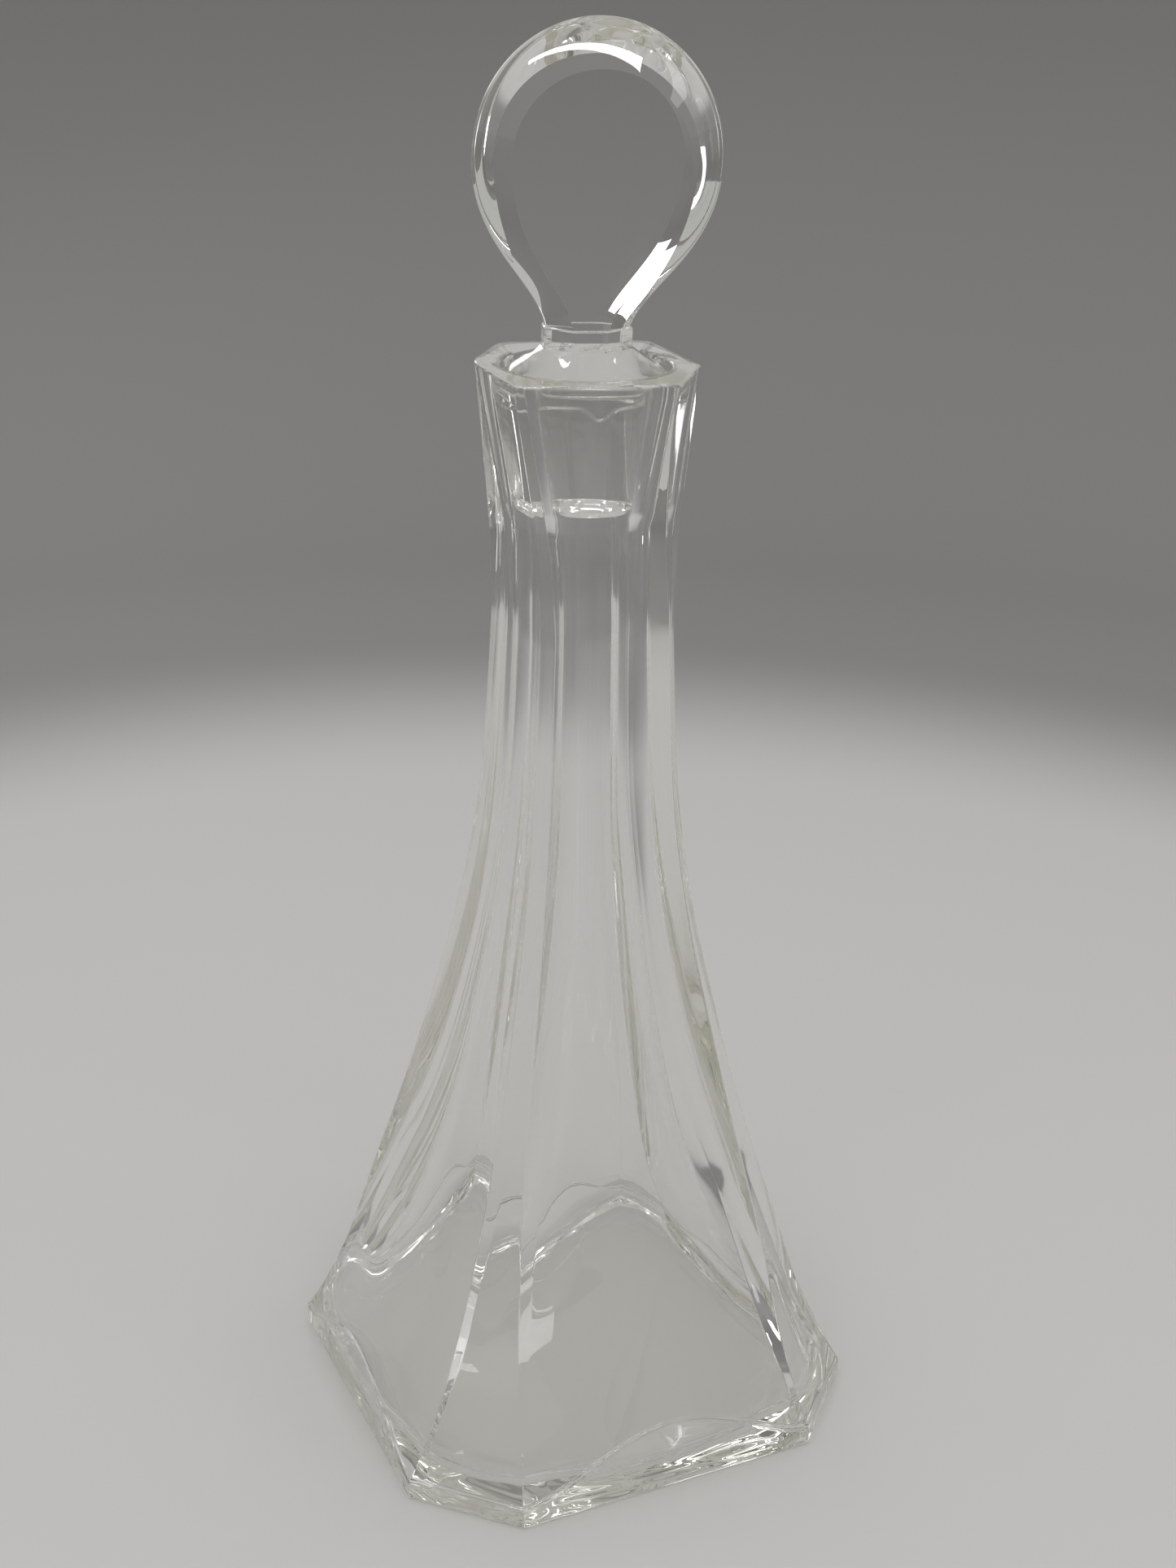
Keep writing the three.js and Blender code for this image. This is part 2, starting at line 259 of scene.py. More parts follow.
class Shader:
    """The node tree of a material or of the world, emptied and written afresh."""

    def __init__(self, owner: bpy.types.Material | bpy.types.World) -> None:
        """Clears the owner's tree."""
        owner.use_nodes = True
        self.tree = owner.node_tree
        self.tree.nodes.clear()

    def node(self, kind: str, inputs: dict | None = None, settings: dict | None = None) -> bpy.types.Node:
        """Adds any node.

        Args:
            kind: the node's type.
            inputs: a number, colour or link for each socket, by name or place.
            settings: its own settings, such as a Math node's operation, set first.

        Returns:
            The node.
        """
        node = self.tree.nodes.new(kind)
        for key, value in (settings or {}).items():
            setattr(node, key, value)
        for key, value in (inputs or {}).items():
            socket = node.inputs[key]
            if isinstance(value, Num):
                self.tree.links.new(value.socket, socket)
            elif isinstance(value, bpy.types.NodeSocket):
                self.tree.links.new(value, socket)
            else:
                socket.default_value = value
        return node

    def place(self) -> tuple[bpy.types.NodeSocket, Num, Num, Num]:
        """The Object coordinates.

        Returns:
            The whole, and its X, Y and Z in metres.
        """
        whole = self.node("ShaderNodeTexCoord").outputs["Object"]
        parts = self.node("ShaderNodeSeparateXYZ", {0: whole}).outputs
        return whole, Num(self, parts[0]), Num(self, parts[1]), Num(self, parts[2])

    def noise(self, where: bpy.types.NodeSocket, scale: float, detail: float) -> Num:
        """A Noise texture's value, about 0.5 in the mean."""
        inputs = {"Vector": where, "Scale": scale, "Detail": detail, "Roughness": 0.5}
        return Num(self, self.node("ShaderNodeTexNoise", inputs).outputs[0])

    def stretched(self, where: bpy.types.NodeSocket, scale: Point) -> bpy.types.NodeSocket:
        """The coordinates stretched by a scale for each axis."""
        return self.node("ShaderNodeMapping", {"Vector": where, "Scale": scale}).outputs[0]

    def between(self, share: Num, first: Colour, second: Colour) -> bpy.types.NodeSocket:
        """The colour that is the share of the way from first to second."""
        colours = {0: share, 6: first, 7: second}
        return self.node("ShaderNodeMix", colours, {"data_type": "RGBA"}).outputs[2]


@dataclass(frozen=True)
class ClearGlass:
    """Clear soda glass: fire polished, a little wavy, and ground where a joint is.

    Two things here stand in for what real glass does. Shadow and diffuse rays pass straight through, held
    back a little at each surface by shade, and more at a glancing angle by glancing_shade, in place of true
    caustics. A ray that total reflection traps for trapped_after bounces also passes straight through.
    """

    name: str
    tint: Tone = (0.86, 0.86, 0.75)
    tint_per_metre: float = 6.0
    bend: float = 1.51
    wave_height: float = 0.00002
    wave_scale: float = 55.0
    wave_stretch: Point = (1.0, 1.0, 0.35)
    fine_share: float = 0.05
    fine_times: float = 6.0
    grind_scale: float = 2600.0
    grind_stretch: Point = (1.0, 1.0, 0.05)
    grind_share: float = 0.12
    dust_scale: float = 900.0
    dust_roughness: float = 0.06
    dust_range: tuple[float, float] = (0.68, 0.80)
    ground_low: float = 0.0
    ground_high: float = 0.0
    ground_within: float = 0.0
    ground_roughness: float = 0.05
    ground_edge: float = 0.0004
    shade: Tone = (0.95, 0.95, 0.94)
    glancing_shade: Tone = (0.20, 0.20, 0.20)
    glancing_power: float = 4.0
    trapped_after: float = 22.0

    def ground_mask(self, shader: Shader) -> Num:
        """1 on the ground joint: between two heights and within a distance of the axis.

        Args:
            shader: the tree to write in.

        Returns:
            The mask.
        """
        _, x, y, z = shader.place()
        across = (x * x + y * y) ** 0.5
        edge = self.ground_edge
        above = z.ease(self.ground_low - edge, self.ground_low + edge)
        below = z.ease(self.ground_high + edge, self.ground_high - edge)
        within = across.ease(self.ground_within + edge, self.ground_within - edge)
        return above * below * within

    def material(self) -> bpy.types.Material:
        """Builds the material.

        Returns:
            The material, with its surface and its volume.
        """
        material = bpy.data.materials.new(self.name)
        shader = Shader(material)
        where, _, _, _ = shader.place()
        waves = shader.noise(shader.stretched(where, self.wave_stretch), self.wave_scale, 1.5)
        fine = shader.noise(where, self.wave_scale * self.fine_times, 2.0)
        ground = self.ground_mask(shader)
        lines = shader.noise(shader.stretched(where, self.grind_stretch), self.grind_scale, 2.0)
        height = waves + fine * self.fine_share + lines * ground * self.grind_share
        relief = {"Strength": 1.0, "Distance": self.wave_height, "Height": height}
        bump = shader.node("ShaderNodeBump", relief)
        dust = shader.noise(where, self.dust_scale, 3.0).ease(*self.dust_range)
        rough = dust * self.dust_roughness + ground * self.ground_roughness
        looks = {
            "Base Color": WHITE,
            "Roughness": rough,
            "IOR": self.bend,
            "Transmission Weight": 1.0,
            "Normal": bump.outputs[0],
        }
        surface = shader.node("ShaderNodeBsdfPrincipled", looks)
        depth = {"Color": (*self.tint, 1.0), "Density": self.tint_per_metre}
        inside = shader.node("ShaderNodeVolumeAbsorption", depth)
        path = shader.node("ShaderNodeLightPath").outputs
        trapped = Num(shader, path["Ray Depth"]).ease(self.trapped_after, self.trapped_after + 1.0)
        unseen = Num(shader, path["Is Shadow Ray"]) + Num(shader, path["Is Diffuse Ray"])
        unseen = (unseen + trapped).held()
        clear = shader.node("ShaderNodeBsdfTransparent", {"Color": (*self.shade, 1.0)})
        dim = shader.node("ShaderNodeBsdfTransparent", {"Color": (*self.glancing_shade, 1.0)})
        layer = shader.node("ShaderNodeLayerWeight", {"Blend": 0.5})
        glancing = Num(shader, layer.outputs["Facing"]) ** self.glancing_power * (1.0 - trapped)
        filters = {0: glancing, 1: clear.outputs[0], 2: dim.outputs[0]}
        passing = shader.node("ShaderNodeMixShader", filters)
        ways = {0: unseen, 1: surface.outputs[0], 2: passing.outputs[0]}
        both = shader.node("ShaderNodeMixShader", ways)
        ends = {"Surface": both.outputs[0], "Volume": inside.outputs[0]}
        shader.node("ShaderNodeOutputMaterial", ends)
        return material


# ---- the body


class Side(Enum):
    """The two kinds of side of the eight-sided foot."""

    SHORT = 0
    WIDE = 1


@dataclass
class Body:
    """The faceted body: eight ridges run from a chamfered square foot to a six-sided rim.

    Sizes are in millimetres and angles in degrees. Ridges 0 to 3 are in front, 4 to 7 behind.
    """

    foot_radius: float = 60.0
    half_short: float = 12.1
    corner_wall: float = 3.8
    arch_rise: float = 11.3
    foot_bevel: float = 0.8
    foot_reach: float = 50.37
    crease_round: float = 0.28
    bead_above: float = 0.9
    bead_height: float = 0.46
    bead_width: float = 0.28
    rim_height: float = 221.5
    rim_blunt_radius: float = 21.5
    rim_sharp_radius: float = 25.2
    waist_radius: float = 18.5
    waist_height: float = 172.0
    rim_flare_start: float = 188.0
    first_middle: float = -135.0
    turn_ease: float = 0.8
    spread_ease: float = 1.3
    closed_turn: float = -8.0
    closed_half_angle: float = 2.5
    open_turn_before: float = -27.0
    open_turn_after: float = 20.0
    lip_round: float = 0.9
    edge_round: float = 0.7
    edge_drop: float = 0.6
    rim_crown: float = 0.12
    wall_at_waist: float = 2.8
    wall_at_foot: float = 3.0
    floor_thickness: float = 4.0
    floor_round: float = 5.0
    recess_radius: float = 37.0
    recess_depth: float = 1.2
    ring_hollow: float = 0.22
    band_half_angle: float = 4.5
    side_swell: float = 0.074
    ridge_fillet: float = 0.4
    rim_fillet: float = 3.0
    fillet_limit: float = 0.4
    foot_fade: float = 0.35
    ripple_start: float = 12.0
    ripple_rise: float = 30.0
    mouth_radius: float = 16.2
    mouth_end_radius: float = 12.1
    mouth_depth: float = 26.5
    mouth_step: float = 2.6
    narrow_from: float = 0.85
    channel_radius: float = 11.4
    corner_steps: int = 7
    wide_steps: int = 30
    short_steps: int = 6
    flare_rows: int = 170
    cavity_rows: int = 110
    corner_of_column: Array = field(init=False)
    side_of_column: Array = field(init=False)
    turn_of_column: Array = field(init=False)
    share_of_column: Array = field(init=False)

    def __post_init__(self) -> None:
        """Lays out the columns and the curves that the sizes lead to."""
        corners, sides, turns, shares = [], [], [], []
        for index in range(8):
            kind = Side.SHORT if index % 2 == 0 else Side.WIDE
            count = self.short_steps if kind is Side.SHORT else self.wide_steps
            corners += [index] * (self.corner_steps + count)
            sides += [False] * self.corner_steps + [True] * count
            turns += list(np.linspace(0.0, 1.0, self.corner_steps)) + [0.0] * count
            shares += [0.0] * self.corner_steps + list(np.arange(1, count + 1) / (count + 1))
        self.corner_of_column = np.array(corners)
        self.side_of_column = np.array(sides)
        self.turn_of_column = np.array(turns)
        self.share_of_column = np.array(shares)
        at, low, high = self.flare_height, self.waist_radius, self.foot_radius
        drops = ((0.1, 0.8), (0.235, 0.625), (0.38, 0.435), (0.51, 0.285), (0.65, 0.145), (0.8, 0.05))
        knots = [(at(share), mix(low, high, left)) for share, left in drops]
        knots = [(-6.0, high + 7.6), (self.corner_wall, high), *knots, (self.waist_height, low)]
        self.flare = curve_through(knots)
        slim, broad = self.band_half_angle, self.half_short
        knots = [(0.0, broad), (at(0.12), mix(slim, broad, 0.55)), (at(0.35), mix(slim, broad, 0.12))]
        self.opening = curve_through([*knots, (at(0.6), slim), (self.rim_height, slim)])
        near_foot = [(-10.0, 1.0), (6.0, 1.0), (14.0, 0.92), (23.0, 0.56), (33.0, 0.30)]
        self.follow = curve_through(near_foot + [(50.0, 0.12), (80.0, 0.0), (240.0, 0.0)])
        thick, thin = self.wall_at_foot, self.wall_at_waist
        knots = [(0.0, thick), (at(0.45), mix(thick, thin, 0.5)), (self.waist_height, thin)]
        self.wall = curve_through(knots)

    def flare_height(self, share: float) -> float:
        """The height at that share of the way from the foot's edge to the waist."""
        return mix(self.corner_wall, self.waist_height, share)

    def rim_share(self, height: Array) -> Array:
        """How far up the rim's flare a height is, 0 at its start and 1 at the rim."""
        return (height - self.rim_flare_start) / (self.rim_height - self.rim_flare_start)

    def short_side(self, index: Array) -> tuple[Array, Array]:
        """The heading of a ridge's short side, and -1 or 1 for the end of it that the ridge stands at."""
        return self.first_middle + 90.0 * (index // 2), np.where(index % 2 == 0, -1.0, 1.0)

    def corner(self, index: Array, height: Array) -> Array:
        """Where a ridge stands at a height.

        Below the waist its distance from the axis is the flare and its angle is the middle of its short
        side, plus or minus half the opening. Above it, distance and angle ease to their values at the rim,
        where two bands have closed to a sharp corner and two have opened into sides.

        Args:
            index: which ridge, 0 to 7.
            height: heights, of the same shape or one that broadcasts.

        Returns:
            Points, with x and y last.
        """
        middle, side = self.short_side(index)
        t = smooth((height - self.waist_height) / (self.rim_height - self.waist_height)) ** self.turn_ease
        spread = np.clip(self.rim_share(height), 0.0, 1.0) ** self.spread_ease
        closes = index // 2 % 2 == 0
        closed = self.closed_turn + side * self.closed_half_angle
        opened = np.where(side < 0, self.open_turn_before, self.open_turn_after)
        end_angle = middle + np.where(closes, closed, opened)
        blunt = ~closes & (side > 0)
        end_radius = np.where(blunt, self.rim_blunt_radius, self.rim_sharp_radius)
        radius = np.where(height > self.waist_height, self.waist_radius, self.flare(height))
        angle = np.radians(mix(middle + side * self.opening(height), end_angle, t))
        return mix(radius, end_radius, spread)[..., None] * spokes(angle)

    def side_point(self, index: Array, share: Array, height: Array, swell: Array) -> Array:
        """A point on the side that starts at ridge index.

        The straight line between the two ridges, pushed out by swell times its length times
        sin(pi share)^1.5.

        Args:
            index: the side.
            share: how far along it.
            height: the level.
            swell: the swelling, as a share of the side's length.

        Returns:
            Points, with x and y last.
        """
        start, end = self.corner(index, height), self.corner((index + 1) % 8, height)
        outward = np.stack([end[..., 1] - start[..., 1], start[..., 0] - end[..., 0]], -1)
        bulge = swell * np.sin(np.pi * np.clip(share, 0.0, 1.0)) ** 1.5
        return mix(start, end, share[..., None]) + outward * bulge[..., None]

    def with_fillets(self, flat: Array, enter: Array, ridge: Array, leave: Array) -> Array:
        """Side columns as in flat, and fillet columns on the bent curve from enter to leave."""
        turned = bent(enter, ridge, leave, self.turn_of_column[:, None])
        return np.where(self.side_of_column[:, None], flat, turned)

    def section(self, height: Array) -> Array:
        """The outline at each column's own height.

        Side columns lie on their side between its two fillets. Fillet columns follow the quadratic curve
        from one side to the next that heads for the ridge. Near the rim the ridges behind are rounder.

        Args:
            height: shape (rows, columns).

        Returns:
            Points, shape (rows, columns, 2).
        """
        index = np.broadcast_to(self.corner_of_column, height.shape)
        before, after = (index + 7) % 8, (index + 1) % 8
        swell = self.side_swell * (1.0 - smooth(height / self.flare_height(0.6)))
        ridge = self.corner(index, height)
        length = np.linalg.norm(self.corner(after, height) - ridge, axis=-1)
        length_before = np.linalg.norm(self.corner(before, height) - ridge, axis=-1)
        rounder = self.rim_fillet * smooth(self.rim_share(height))
        fillet = self.ridge_fillet + rounder * (index >= 4)
        fillet_ahead = self.ridge_fillet + rounder * (after >= 4)
        cut_before = np.minimum(fillet / length_before, self.fillet_limit)
        cut = np.minimum(fillet / length, self.fillet_limit)
        cut_ahead = np.minimum(fillet_ahead / length, self.fillet_limit)
        share = cut + (1.0 - cut - cut_ahead) * self.share_of_column
        flat = self.side_point(index, share, height, swell)
        enter = self.side_point(before, 1.0 - cut_before, height, swell)
        leave = self.side_point(index, cut, height, swell)
        return self.with_fillets(flat, enter, ridge, leave)

    def angles_at(self, height: float) -> Array:
        """The columns' angles about the axis at a height."""
        section = self.section(np.full((1, len(self.corner_of_column)), height))[0]
        return np.arctan2(section[:, 1], section[:, 0])

    def foot_outline(self) -> tuple[Array, Array]:
        """The foot's straight-sided outline and how high its upright wall is at each column.

        The wall is corner_wall high, and on a wide side rises by arch_rise times sin(pi share)^1.6.

        Returns:
            The outline, shape (columns, 2), and the heights, shape (columns,).
        """
        index = self.corner_of_column
        ridge, ahead, behind = (self._foot_ridge((index + step) % 8) for step in (0, 1, 7))
        cut = self.ridge_fillet * 0.6
        length = np.linalg.norm(ahead - ridge, axis=-1)
        length_before = np.linalg.norm(behind - ridge, axis=-1)
        near = cut / length
        share = near + (1.0 - 2.0 * near) * self.share_of_column
        flat = mix(ridge, ahead, share[:, None])
        enter = mix(ridge, behind, (cut / length_before)[:, None])
        leave = mix(ridge, ahead, near[:, None])
        outline = self.with_fillets(flat, enter, ridge, leave)
        wide = self.side_of_column & (index % 2 == 1)
        arch = np.where(wide, np.sin(np.pi * np.clip(share, 0, 1)) ** 1.6, 0.0)
        return outline, self.corner_wall + self.arch_rise * arch

    def _foot_ridge(self, index: Array) -> Array:
        """The foot's corners of these numbers."""
        middle, side = self.short_side(index)
        return self.foot_radius * spokes(np.radians(middle + side * self.half_short))

    def outside_rows(self) -> Array:
        """The upright wall of the foot, the rounded scalloped edge with its bead, and the flare to the rim.

        The bead stands out by bead_height times exp(-d^2), where d is the distance from its middle in
        bead widths. Above it each column rises to the rim, in shares that grow with height, and its offset
        from the level section to the foot's outline dies away over foot_fade of the rise.

        Returns:
            The rows, shape (rows, columns, 3).
        """
        outline, wall = self.foot_outline()
        start = self.section(wall[None])[0]

        def at(t: float) -> Array:
            """The row that is the share t of the way from the wall's top to the rim."""
            height = mix(wall, self.rim_height, t)
            ease = (1.0 - min(1.0, t / self.foot_fade)) ** 2
            return raised(self.section(height[None])[0] + ease * (outline - start), height)

        bevel = self.foot_bevel
        inward = outline * (1.0 - bevel / np.linalg.norm(outline, axis=1))[:, None]
        foot = rounded(raised(inward, 0.0), raised(outline, 0.0), raised(outline, bevel), 5)
        wall_top = wall - self.crease_round
        shares = np.linspace(0.0, 1.0, 5)[1:-1]
        uprights = [raised(outline, mix(bevel, wall_top, share)) for share in shares]
        first = self.crease_round / self.rim_height
        crease = rounded(raised(outline, wall_top), raised(outline, wall), at(first), 4)
        beads = []
        for rise in np.linspace(self.crease_round, 2.0 * self.bead_above, 14)[1:]:
            ring = at(rise / self.rim_height)
            out = self.bead_height * np.exp(-(((rise - self.bead_above) / self.bead_width) ** 2))
            ring[:, :2] *= 1.0 + out / np.linalg.norm(ring[:, :2], axis=1)[:, None]
            beads.append(ring)
        first = 2.0 * self.bead_above / self.rim_height
        shares = first + (1.0 - first) * (np.arange(1, self.flare_rows + 1) / self.flare_rows) ** 1.25
        shares = shares[:-1]
        shares[-1] = 1.0 - self.edge_drop / self.rim_height
        flare = [at(share) for share in shares]
        return np.concatenate([foot, uprights, crease, beads, flare])

    def underside_rows(self, first: Array) -> Array:
        """The ring that the body stands on and the shallow round recess inside it, from the middle out.

        Between its two edges the ring is hollowed by ring_hollow times an uneven wave of 0 to 2 round the
        axis, times sin(pi share)^2 across it, so it touches the table at its edges. The recess is
        recess_depth times (1 - share^2)^2 deep.

        Args:
            first: the outermost row of the underside, shape (columns, 3).

        Returns:
            The rows, from the middle out.
        """
        angle = np.arctan2(first[:, 1], first[:, 0])
        way = spokes(angle) * self.recess_radius
        shares = np.linspace(0.08, 1.0, 12)
        recess = [raised(way * share, self.recess_depth * (1 - share**2) ** 2) for share in shares]
        edge = recess[-1]
        ring = []
        for share in np.linspace(0.0, 1.0, 26)[1:-1]:
            row = mix(edge, first, share)
            wave = 1.0 + 0.6 * np.sin(6 * angle + 9.0 * share)
            wave = wave + 0.4 * np.sin(11 * angle - 13.0 * share)
            row[:, 2] += self.ring_hollow * wave * np.sin(np.pi * share) ** 2
            ring.append(row)
        return np.stack(recess + ring)

    def rim_rows(self, outer: Array) -> Array:
        """The rounded outer edge, the narrow top face and the rounded lip of the mouth.

        The face goes straight from one edge to the other, raised by rim_crown times sin(pi share).

        Args:
            outer: the last row of the flare, shape (columns, 3).

        Returns:
            The rows, from the outside in.
        """
        way = spokes(np.arctan2(outer[:, 1], outer[:, 0]))
        top, lip = self.rim_height, self.rim_height - self.lip_round
        across = np.linalg.norm(outer[:, :2], axis=1)[:, None]
        inset = raised(way * (across - self.edge_round), top)
        inner = raised(way * (self.mouth_radius + self.lip_round), top)
        edge = rounded(outer, raised(outer[:, :2], top), inset, 6)[1:]
        shares = np.linspace(0, 1, 8)[1:-1]
        face = np.stack([mix(inset, inner, share) for share in shares])
        face[..., 2] += self.rim_crown * np.sin(np.pi * shares)[:, None]
        sharp, below = raised(way * self.mouth_radius, top), raised(way * self.mouth_at(lip), lip)
        return np.concatenate([edge, face, rounded(inner, sharp, below, 6)])

    def mouth_at(self, height: Array) -> Array:
        """Radius of the ground mouth, a straight taper."""
        share = (self.rim_height - height) / self.mouth_depth
        return mix(self.mouth_radius, self.mouth_end_radius, share)

    def inside_rows(self) -> Array:
        """The ground mouth, the channel under it, the cavity and its rounded floor.

        The mouth is a cone. In the cavity a point lies the wall's thickness inside the section's least reach,
        and further out by the share follow of what the section stands out there. From narrow_from up that
        eases into the round channel. The floor's edge is a quarter of an ellipse.

        Returns:
            The rows, from the top down, shape (rows, columns, 3).
        """
        mouth_end = self.rim_height - self.mouth_depth
        cone = np.linspace(self.rim_height - self.lip_round, mouth_end, 24)[1:]
        mouth = [circle(self.angles_at(level), self.mouth_at(level), level) for level in cone]
        step = mouth_end - self.mouth_step
        floor_top = self.floor_thickness + self.floor_round
        levels = mix(step, floor_top, np.linspace(0.0, 1.0, self.cavity_rows))
        height = np.broadcast_to(levels[:, None], (len(levels), len(self.corner_of_column)))
        outside = self.section(height)
        reach = np.linalg.norm(outside, axis=-1)
        flat = reach.min(axis=1, keepdims=True)
        follow = self.follow(height)
        start = self.flare_height(self.narrow_from)
        narrow = smooth((height - start) / (step - start))
        inner = mix(flat - self.wall(height) + follow * (reach - flat), self.channel_radius, narrow)
        angle = np.arctan2(outside[..., 1], outside[..., 0])
        rippled = (1.0 - narrow) * smooth((height - self.ripple_start) / self.ripple_rise)
        inner = inner + self.ripple(angle, height) * rippled
        cavity = raised(inner[..., None] * spokes(angle), height)
        last = cavity[-1, :, :2]
        wide = np.linalg.norm(last, axis=1)
        floor = []
        for bend in np.linspace(0.0, np.pi / 2, 16)[1:]:
            level = self.floor_thickness + self.floor_round * (1.0 - sin(bend))
            shrunk = wide - self.floor_round * 0.9 * (1.0 - cos(bend))
            floor.append(raised(last / wide[:, None] * shrunk[:, None], level))
        end = floor[-1]
        centre = np.array([0.0, 0.0, self.floor_thickness])
        flat_floor = [mix(end, centre, share) for share in (0.15, 0.35, 0.6, 0.85)]
        return np.concatenate([mouth, cavity, floor, flat_floor])

    def ripple(self, angle: Array, height: Array) -> Array:
        """The uneven inside of blown glass: a few long waves round and up the cavity, in millimetres."""
        return (
            0.12 * np.sin(3 * angle + height / 21.0 + 0.7)
            + 0.05 * np.sin(5 * angle - height / 13.0 + 2.1)
            + 0.02 * np.sin(4 * angle - height / 5.7 + 1.3)
        )

    def build(self) -> bpy.types.Object:
        """Skins the whole body as one closed mesh, kept inside the solid's box by foot_reach.

        Returns:
            The body.
        """
        outside = self.outside_rows()
        underside = self.underside_rows(outside[0])
        rim = self.rim_rows(outside[-1])
        rows = np.concatenate([underside, outside, rim, self.inside_rows()])
        rows[..., :2] = np.clip(rows[..., :2], -self.foot_reach, self.foot_reach)
        low = np.array([0.0, 0.0, self.recess_depth])
        high = np.array([0.0, 0.0, self.floor_thickness])
        return stacked_mesh("blown_body", rows, low, high)

    def dress(self, piece: bpy.types.Object) -> None:
        """Gives the body its glass, ground in the mouth."""
        glass = ClearGlass(
            "clear_body_glass",
            ground_low=(self.rim_height - self.mouth_depth) * MM,
            ground_high=(self.rim_height - 1.0) * MM,
            ground_within=(self.mouth_radius + 0.3) * MM,
        )
        piece.data.materials.append(glass.material())


# ---- the stopper


